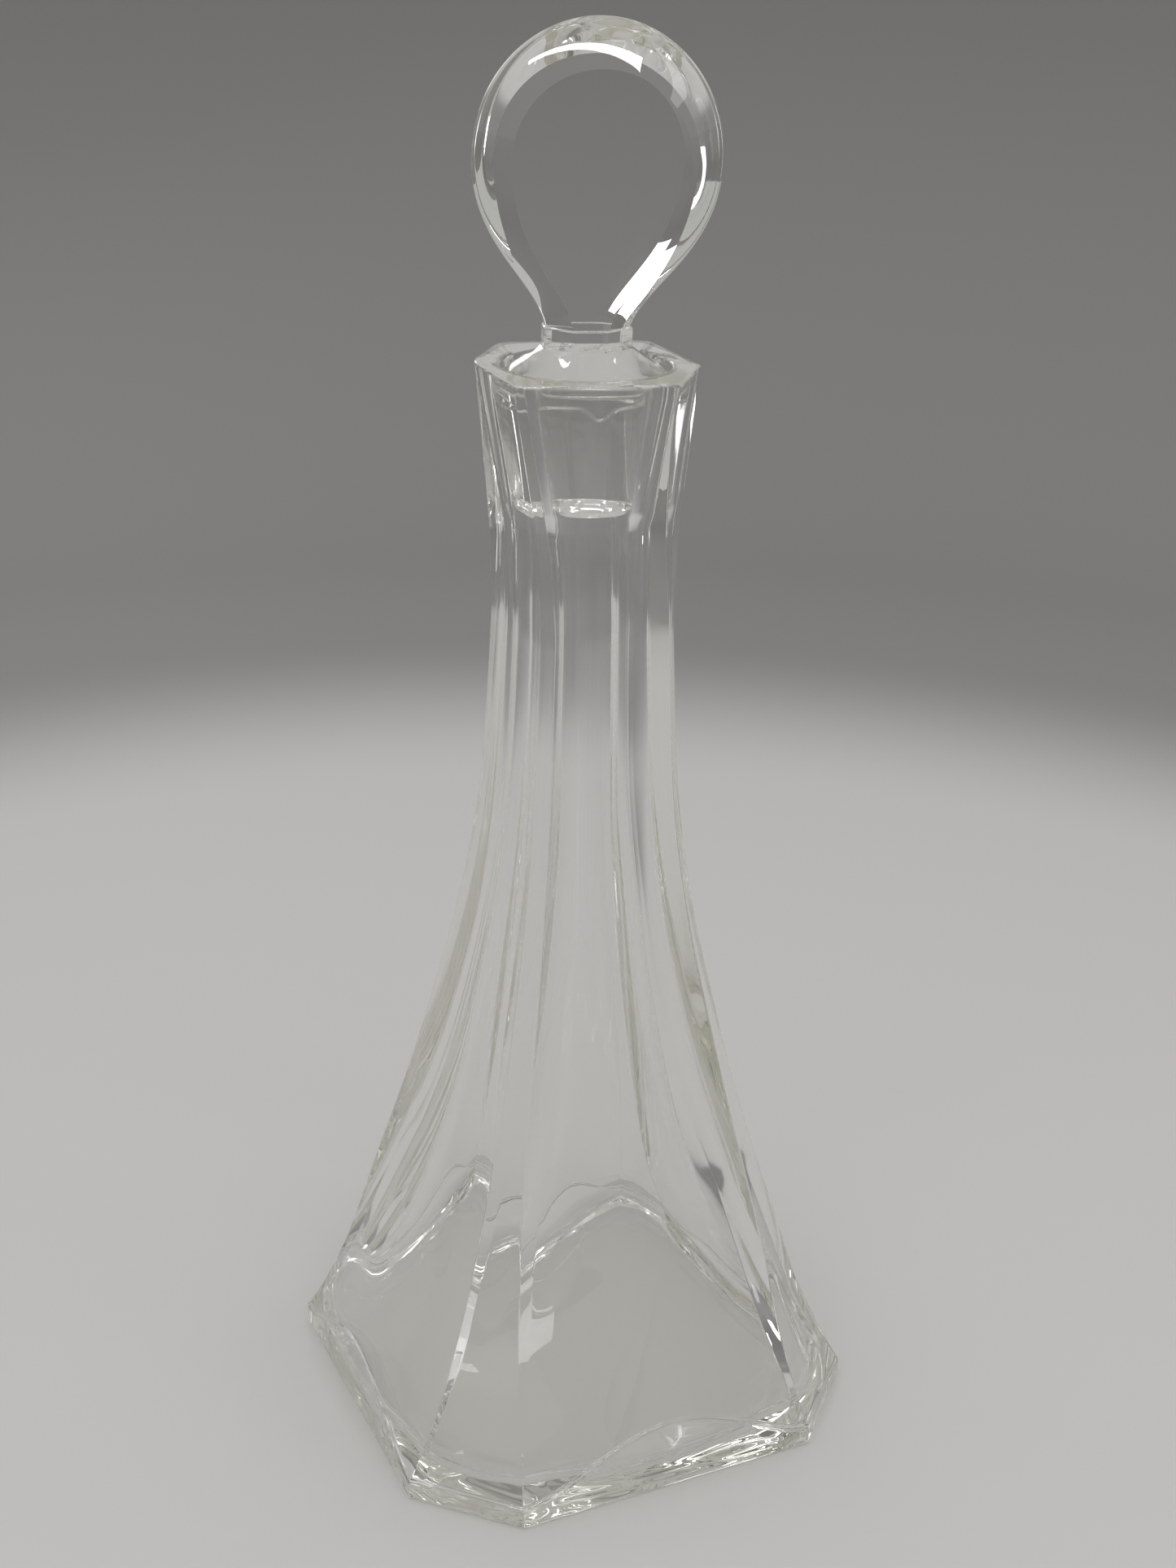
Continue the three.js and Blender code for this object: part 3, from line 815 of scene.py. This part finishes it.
@dataclass
class Stopper:
    """The solid stopper: a ground plug, a turned flare, an eight-sided collar and a bevelled disc.

    Sizes are in millimetres and angles in degrees. A facet of the collar is the angle that it looks in, its
    distance from the axis and how far it leans out for each millimetre below the collar.
    """

    rim_height: float = 221.5
    plug_top_radius: float = 15.8
    plug_end_radius: float = 11.9
    plug_length: float = 24.0
    plug_top_below_rim: float = 2.5
    plug_end_chamfer: float = 1.6
    plug_dome: float = 1.1
    disc_half_width: float = 22.9
    disc_centre: float = 36.7
    disc_rise: float = 24.35
    disc_thickness: float = 13.0
    bevel_angle: float = 33.0
    face_half_width: float = 16.1
    face_rise: float = 15.8
    neck_half_width: float = 7.6
    neck_face_half_width: float = 2.9
    collar_top: float = 7.0
    collar_bottom: float = 3.0
    collar_round: float = 0.35
    collar_facets: tuple[Point, ...] = (
        (90.0, 7.0, 1.95), (48.7, 7.37, 1.9), (0.0, 8.3, 1.6), (-48.7, 7.37, 1.9),
        (-90.0, 7.0, 1.95), (131.3, 7.37, 1.9), (180.0, 8.3, 1.6), (-131.3, 7.37, 1.9),
    )
    facet_blend: float = 0.12
    flare_knots: tuple[tuple[float, float], ...] = (
        (-2.5, 15.8), (-0.7, 14.2), (1.0, 11.7), (3.0, 9.0), (8.0, 8.9),
    )
    lip_step: float = 0.55
    lip_ramp: float = 0.7
    lip_depth: float = 2.6
    lump_depth: float = 2.6
    lump_heading: float = -88.0
    lump_width: float = 0.16
    crisp_angle: float = 14.0
    flank_pull: tuple[float, float] = (0.54, 0.3)
    turn: float = -18.0
    lean: float = 3.0
    columns: int = 264

    def stem_radius(self, angle: Array, height: Array) -> Array:
        """Distance of the stem's surface from the axis.

        The least of a turned profile and of eight facet planes, each its own distance out, divided by the
        cosine of the angle from the facet's middle. Below the collar the planes lean outwards, so that
        each facet ends in a curve on the turned flare.

        Args:
            angle: angles about the axis, in radians.
            height: heights above the rim, in millimetres.

        Returns:
            The radii in millimetres.
        """
        radius = self.profile(height)
        below = np.maximum(self.collar_bottom - height, 0.0)
        least, far = 0.3, 99.0
        for middle, distance, lean in self.collar_facets:
            away = np.cos(angle - radians(middle))
            plane = (distance + lean * below) / np.maximum(away, least)
            radius = self.soft_least(radius, np.where(away > least, plane, far), self.facet_blend)
        return radius

    def soft_least(self, a: Array, b: Array, blend: float) -> Array:
        """The lesser of a and b, rounded off where they cross over about blend."""
        return 0.5 * (a + b - np.sqrt((a - b) ** 2 + blend**2))

    def profile(self, height: Array) -> Array:
        """The turned profile: a straight cone for the plug, and the flare's curve above it.

        Args:
            height: heights above the rim.

        Returns:
            The radii.
        """
        top = -self.plug_top_below_rim
        end = top - self.plug_length
        cone = mix(self.plug_end_radius, self.plug_top_radius, (height - end) / self.plug_length)
        flare = np.interp(height, self.flare_x, self.flare_y)
        return np.where(height < top, cone, flare)

    def __post_init__(self) -> None:
        """Works out the flare's curve."""
        height = np.linspace(-self.plug_top_below_rim, self.collar_top + 1.0, 200)
        self.flare_x = height
        self.flare_y = curve_through(self.flare_knots)(height)

    def lip_line(self, angle: Array) -> Array:
        """How far below the plug's top its ground face begins: an uneven line with one low lump.

        Three sine waves round the axis, plus lump_depth times exp(-d^2), with d in lump widths.

        Args:
            angle: angles about the axis, in radians.

        Returns:
            The depths.
        """
        away = (angle - radians(self.lump_heading) + np.pi) % (2 * np.pi) - np.pi
        lump = np.exp(-((away / self.lump_width) ** 2))
        waves = 0.55 * np.sin(2 * angle + 0.8) + 0.35 * np.sin(5 * angle + 2.0)
        return self.lip_depth + (waves + 0.2 * np.sin(9 * angle)) + self.lump_depth * lump

    def stem(self) -> bpy.types.Object:
        """The plug, flare and collar as one closed turned and faceted mesh.

        Rings of stem_radius between a shallow dome and a flat cap. Above the lip line they are smaller by
        lip_step, which fades out at the plug's top.

        Returns:
            The stem.
        """
        angle = np.linspace(-np.pi, np.pi, self.columns, endpoint=False)
        top = -self.plug_top_below_rim
        end = top - self.plug_length
        bevel = self.plug_end_chamfer
        flat = self.plug_end_radius - bevel
        ends = [(share * flat, end - self.plug_dome * (1 - share**2)) for share in (0.15, 0.4, 0.65, 0.85)]
        ends.append((flat, end))
        ends.append((self.plug_end_radius - bevel * 0.8, end + 0.05))
        ends.append((self.plug_end_radius - 0.25, end + bevel * 0.75))
        rings = [circle(angle, radius, level) for radius, level in ends]
        collar_edge = self.collar_top - self.collar_round
        stops = (end + bevel, top - 6.5, top, self.collar_bottom, collar_edge)
        spans = [np.linspace(*span)[1:] for span in zip(stops, stops[1:], (26, 44, 34, 8))]
        levels = np.concatenate([[stops[0]], *spans])
        grid_angle, grid_height = np.meshgrid(angle, levels)
        radius = self.stem_radius(grid_angle, grid_height)
        above = grid_height - (top - self.lip_line(grid_angle))
        fade = 1.0 - smooth((grid_height - top + 0.6) / 1.6)
        radius = radius - self.lip_step * smooth(above / self.lip_ramp) * fade
        rings += list(raised(radius[..., None] * spokes(grid_angle), grid_height))
        last = rings[-1]
        for inset, rise in ((0.1, 0.2), (0.35, self.collar_round)):
            ring = last.copy()
            ring[:, :2] *= 1.0 - inset / 8.0
            ring[:, 2] = collar_edge + rise
            rings.append(ring)
        cap = rings[-1].copy()
        cap[:, :2] *= 0.5
        rings.append(cap)
        rows = np.stack(rings)
        rows[..., 2] += self.rim_height
        low = np.array([0.0, 0.0, self.rim_height + end - self.plug_dome])
        high = np.array([0.0, 0.0, self.rim_height + self.collar_top])
        return stacked_mesh("stopper_stem", rows, low, high)

    def keyhole(self, half_width: float, rise: float, neck: float, low: float, steps: int) -> Array:
        """The right half of a keyhole outline, from its top down to its neck.

        A quarter of an ellipse, then one cubic curve that leaves and arrives straight down. Its two handles
        are flank_pull of its drop long.

        Args:
            half_width: half the head's width.
            rise: how far the head rises above the disc's centre.
            neck: half the neck's width.
            low: where the neck ends, above the rim.
            steps: how many steps each part has.

        Returns:
            Points of (x, height above the rim), shape (2 steps + 1, 2).
        """
        angle = (np.pi / 2) * np.arange(steps) / steps
        head = np.stack([half_width * np.sin(angle), self.disc_centre + rise * np.cos(angle)], -1)
        drop = self.disc_centre - low
        t = np.linspace(0.0, 1.0, steps + 1)[:, None]
        leave, arrive = self.flank_pull
        a, b = np.array([[half_width, self.disc_centre], [half_width, self.disc_centre - drop * leave]])
        c, d = np.array([[neck, low + drop * arrive], [neck, low]])
        flank = (1 - t) ** 3 * a + 3 * t * (1 - t) ** 2 * b + 3 * t**2 * (1 - t) * c + t**3 * d
        return np.concatenate([head, flank])

    def disc(self) -> bpy.types.Object:
        """The disc, from its front face through its thickness to its back face.

        The outline grows from the flat face to the middle plane along the cubic of the depth that leaves
        the face at the bevel's angle, which gives each face a crisp edge, and is square to it in the middle.

        Returns:
            The disc, leaning by lean.
        """
        low = mix(self.collar_bottom, self.collar_top, 0.3)
        steps = 56
        rim = self.keyhole(self.disc_half_width, self.disc_rise, self.neck_half_width, low, steps)
        neck = self.neck_face_half_width
        face = self.keyhole(self.face_half_width, self.face_rise, neck, low, steps)
        half = self.disc_thickness / 2
        slope = half / (self.disc_half_width - self.face_half_width) / np.tan(radians(self.bevel_angle))
        depth = half * np.sin(np.linspace(-np.pi / 2, np.pi / 2, 49))
        inwards = 1.0 - np.abs(depth) / half
        grow = slope * inwards + (3.0 - 2.0 * slope) * inwards**2 + (slope - 2.0) * inwards**3
        right = mix(face[None], rim[None], grow[:, None, None])
        left = right[:, :0:-1].copy()
        left[..., 0] *= -1
        outline = np.concatenate([right, left], 1)
        y = np.broadcast_to(depth[:, None], outline.shape[:2])
        rows = np.stack([outline[..., 0], y, outline[..., 1]], -1)
        middle = rows[0].mean(0)
        inner = [mix(rows[0], middle, share) for share in (0.9, 0.6, 0.3)]
        inner_end = [mix(rows[-1], rows[-1].mean(0), share) for share in (0.3, 0.6, 0.9)]
        rows = np.concatenate([inner, rows, inner_end])
        tilt = radians(self.lean)
        x, z = rows[..., 0].copy(), rows[..., 2] - self.collar_top
        rows[..., 0] = x * cos(tilt) + z * sin(tilt)
        rows[..., 2] = -x * sin(tilt) + z * cos(tilt) + self.collar_top
        rows[..., 2] += self.rim_height
        low_pole, high_pole = rows[0].mean(0), rows[-1].mean(0)
        return stacked_mesh("stopper_disc", rows, low_pole, high_pole)

    def build(self) -> bpy.types.Object:
        """Joins stem and disc into one solid and turns it as it was left in the mouth.

        Returns:
            The stopper.
        """
        stem, disc = self.stem(), self.disc()
        join = stem.modifiers.new("join", "BOOLEAN")
        join.operation = "UNION"
        join.solver = "EXACT"
        join.object = disc
        bpy.context.view_layer.update()
        joined = stem.evaluated_get(bpy.context.evaluated_depsgraph_get())
        mesh = bpy.data.meshes.new_from_object(joined)
        mesh.name = "disc_stopper"
        bpy.data.objects.remove(disc)
        bpy.data.objects.remove(stem)
        mesh.transform(Matrix.Rotation(radians(self.turn), 4, "Z"))
        mesh.set_sharp_from_angle(angle=radians(self.crisp_angle))
        return placed("disc_stopper", mesh)

    def dress(self, piece: bpy.types.Object) -> None:
        """Gives the stopper its glass, ground on the plug."""
        end = self.rim_height - self.plug_top_below_rim - self.plug_length
        glass = ClearGlass(
            "clear_stopper_glass",
            tint_per_metre=4.0,
            ground_low=(end + 1.5) * MM,
            ground_high=(self.rim_height - self.plug_top_below_rim - 2.5) * MM,
            ground_within=(self.plug_top_radius + 0.5) * MM,
        )
        piece.data.materials.clear()
        piece.data.materials.append(glass.material())


# ---- the studio


@dataclass(frozen=True)
class Lamp:
    """A rectangular soft lamp, in metres and watts, that the camera doesn't see."""

    name: str
    place: Point
    size: tuple[float, float]
    power: float

    def build(self, aim: Point) -> None:
        """Hangs the lamp so that it faces the point aim."""
        light = bpy.data.lights.new(self.name, "AREA")
        light.shape = "RECTANGLE"
        light.size, light.size_y = self.size
        light.energy = self.power
        lamp = placed(self.name, light)
        lamp.location = self.place
        lamp.visible_camera = False
        lamp.rotation_euler = (Vector(aim) - lamp.location).to_track_quat("-Z", "Y").to_euler()


@dataclass
class Studio:
    """A round pale table top, painted a darker grey out towards and up its backdrop as painted shade, soft
    lamps and the photograph's camera, in metres.
    """

    eye: Point = (-0.172066, -0.369615, 0.304370)
    heading: float = 25.2265
    pitch: float = 22.3591
    roll: float = 1.1110
    lens: float = 50.44
    floor_radius: float = 0.62
    cove: float = 0.25
    wall_height: float = 0.36
    floor_drop: float = 0.0002
    floor_grey: Colour = (0.46, 0.45, 0.44, 1.0)
    # painted shade: the darker grey of the far floor and backdrop, standing in for the lesser light there
    shaded_wall_grey: Colour = (0.22, 0.215, 0.21, 1.0)
    room_grey: Colour = (0.45, 0.45, 0.44, 1.0)
    fade: tuple[float, float] = (0.34, 0.50)
    paper_roughness: float = 0.7
    aim: Point = (0.0, 0.0, 0.15)
    lamps: tuple[Lamp, ...] = (
        Lamp("overhead_lamp", (-0.179, -0.380, 0.87), (0.90, 0.045), 2.5),
        Lamp("back_lamp", (0.045, 0.799, 0.375), (0.22, 0.15), 0.24),
        Lamp("side_lamp", (0.528, -0.533, 0.795), (0.12, 0.40), 0.4),
        Lamp("left_rim_lamp", (-0.335, 0.726, 0.22), (0.05, 0.36), 0.12),
        Lamp("right_rim_lamp", (0.774, 0.204, 0.22), (0.05, 0.36), 0.12),
    )
    all_bounces: int = 96
    transmission_bounces: int = 48
    glossy_bounces: int = 64

    def table_top(self) -> None:
        """The sheet: a level disc, a quarter-round cove and an upright wall, turned about the axis."""
        radii = np.linspace(0.002, self.floor_radius, 30)
        level = np.zeros_like(radii)
        bend = np.linspace(0, np.pi / 2, 20)[1:]
        radii = np.concatenate([radii, self.floor_radius + self.cove * np.sin(bend)])
        level = np.concatenate([level, self.cove * (1 - np.cos(bend))])
        radii = np.append(radii, self.floor_radius + self.cove)
        level = np.append(level, self.wall_height)
        angle = np.linspace(0, 2 * np.pi, 128, endpoint=False)
        plan = radii[:, None, None] * spokes(angle)
        points = raised(plan, level[:, None] - self.floor_drop).reshape(-1, 3)
        points = np.concatenate([points, [[0.0, 0.0, -self.floor_drop]]])
        count, rings = len(angle), len(radii)
        column = np.arange(count)
        faces = ring_faces(rings, count)[:, [0, 3, 2, 1]].tolist()
        faces += np.stack([np.full(count, rings * count), column, np.roll(column, -1)], -1).tolist()
        mesh = bpy.data.meshes.new("table_top")
        mesh.from_pydata(points.tolist(), [], faces)
        mesh.polygons.foreach_set("use_smooth", np.ones(len(mesh.polygons), bool))
        mesh.update()
        top = placed("table_top", mesh)
        top.data.materials.append(self.paper())

    def paper(self) -> bpy.types.Material:
        """Pale paper that fades once into a darker grey out towards and up the backdrop, the same all round:
        painted shade, for the lesser light that falls on the backdrop.

        Returns:
            The material.
        """
        material = bpy.data.materials.new("pale_paper")
        shader = Shader(material)
        _, x, y, _ = shader.place()
        across = (x * x + y * y) ** 0.5
        # painted shade: past the fade the paper is painted the darker grey that stands in for the backdrop's
        # shade
        colour = shader.between(across.ease(*self.fade), self.floor_grey, self.shaded_wall_grey)
        looks = {"Base Color": colour, "Roughness": self.paper_roughness}
        surface = shader.node("ShaderNodeBsdfPrincipled", looks)
        shader.node("ShaderNodeOutputMaterial", {"Surface": surface.outputs[0]})
        return material

    def world(self) -> None:
        """Even white light from all round, and one plain grey where the camera or the glass sees it."""
        world = bpy.data.worlds.new("soft_room")
        bpy.context.scene.world = world
        shader = Shader(world)
        path = shader.node("ShaderNodeLightPath").outputs
        seen = Num(shader, path["Is Camera Ray"]) + Num(shader, path["Is Glossy Ray"])
        seen = (seen + Num(shader, path["Is Transmission Ray"])).held()
        looks = {"Color": shader.between(seen, WHITE, self.room_grey), "Strength": 1.0}
        light = shader.node("ShaderNodeBackground", looks)
        shader.node("ShaderNodeOutputWorld", {"Surface": light.outputs[0]})

    def camera(self) -> None:
        """The photograph's camera: its place, heading, downward pitch and small roll."""
        data = bpy.data.cameras.new("photo_camera")
        data.lens = self.lens
        data.sensor_width = 36.0
        data.sensor_fit = "AUTO"
        data.clip_start = 0.01
        data.clip_end = 50.0
        down, tilt = radians(self.pitch), radians(self.roll)
        ahead = Vector((0.0, cos(down), -sin(down)))
        across, above = Vector((1.0, 0.0, 0.0)), Vector((0.0, sin(down), cos(down)))
        right = cos(tilt) * across + sin(tilt) * above
        up = -sin(tilt) * across + cos(tilt) * above
        turn = Matrix.Rotation(-radians(self.heading), 3, "Z")
        axes = Matrix((turn @ right, turn @ up, -(turn @ ahead))).transposed()
        eye = placed("photo_camera", data)
        eye.matrix_world = Matrix.Translation(Vector(self.eye)) @ axes.to_4x4()
        bpy.context.scene.camera = eye

    def build(self) -> None:
        """Sets up the whole studio."""
        self.table_top()
        self.world()
        for lamp in self.lamps:
            lamp.build(self.aim)
        self.camera()
        scene = bpy.context.scene
        scene.view_settings.view_transform = "Standard"
        scene.cycles.max_bounces = self.all_bounces
        scene.cycles.transmission_bounces = self.transmission_bounces
        scene.cycles.glossy_bounces = self.glossy_bounces


def report(piece: bpy.types.Object, body: str) -> None:
    """Logs a finished piece with its size and its number of faces."""
    size = [round(value / MM, 1) for value in piece.dimensions]
    log.info("%s rides on %s, %s mm, %d faces", piece.name, body, size, len(piece.data.polygons))


def main() -> None:
    """Builds the studio, the body and the stopper."""
    logging.basicConfig(level=logging.INFO, format="%(name)s: %(message)s")
    Studio().build()
    body = Body()
    blown = body.build()
    body.dress(blown)
    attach(blown, "vessel")
    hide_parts("decanter_body")
    report(blown, "vessel")
    stopper = Stopper()
    solid = stopper.build()
    stopper.dress(solid)
    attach(solid, "stopper")
    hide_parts("stopper")
    report(solid, "stopper")


if __name__ == "__main__":
    main()
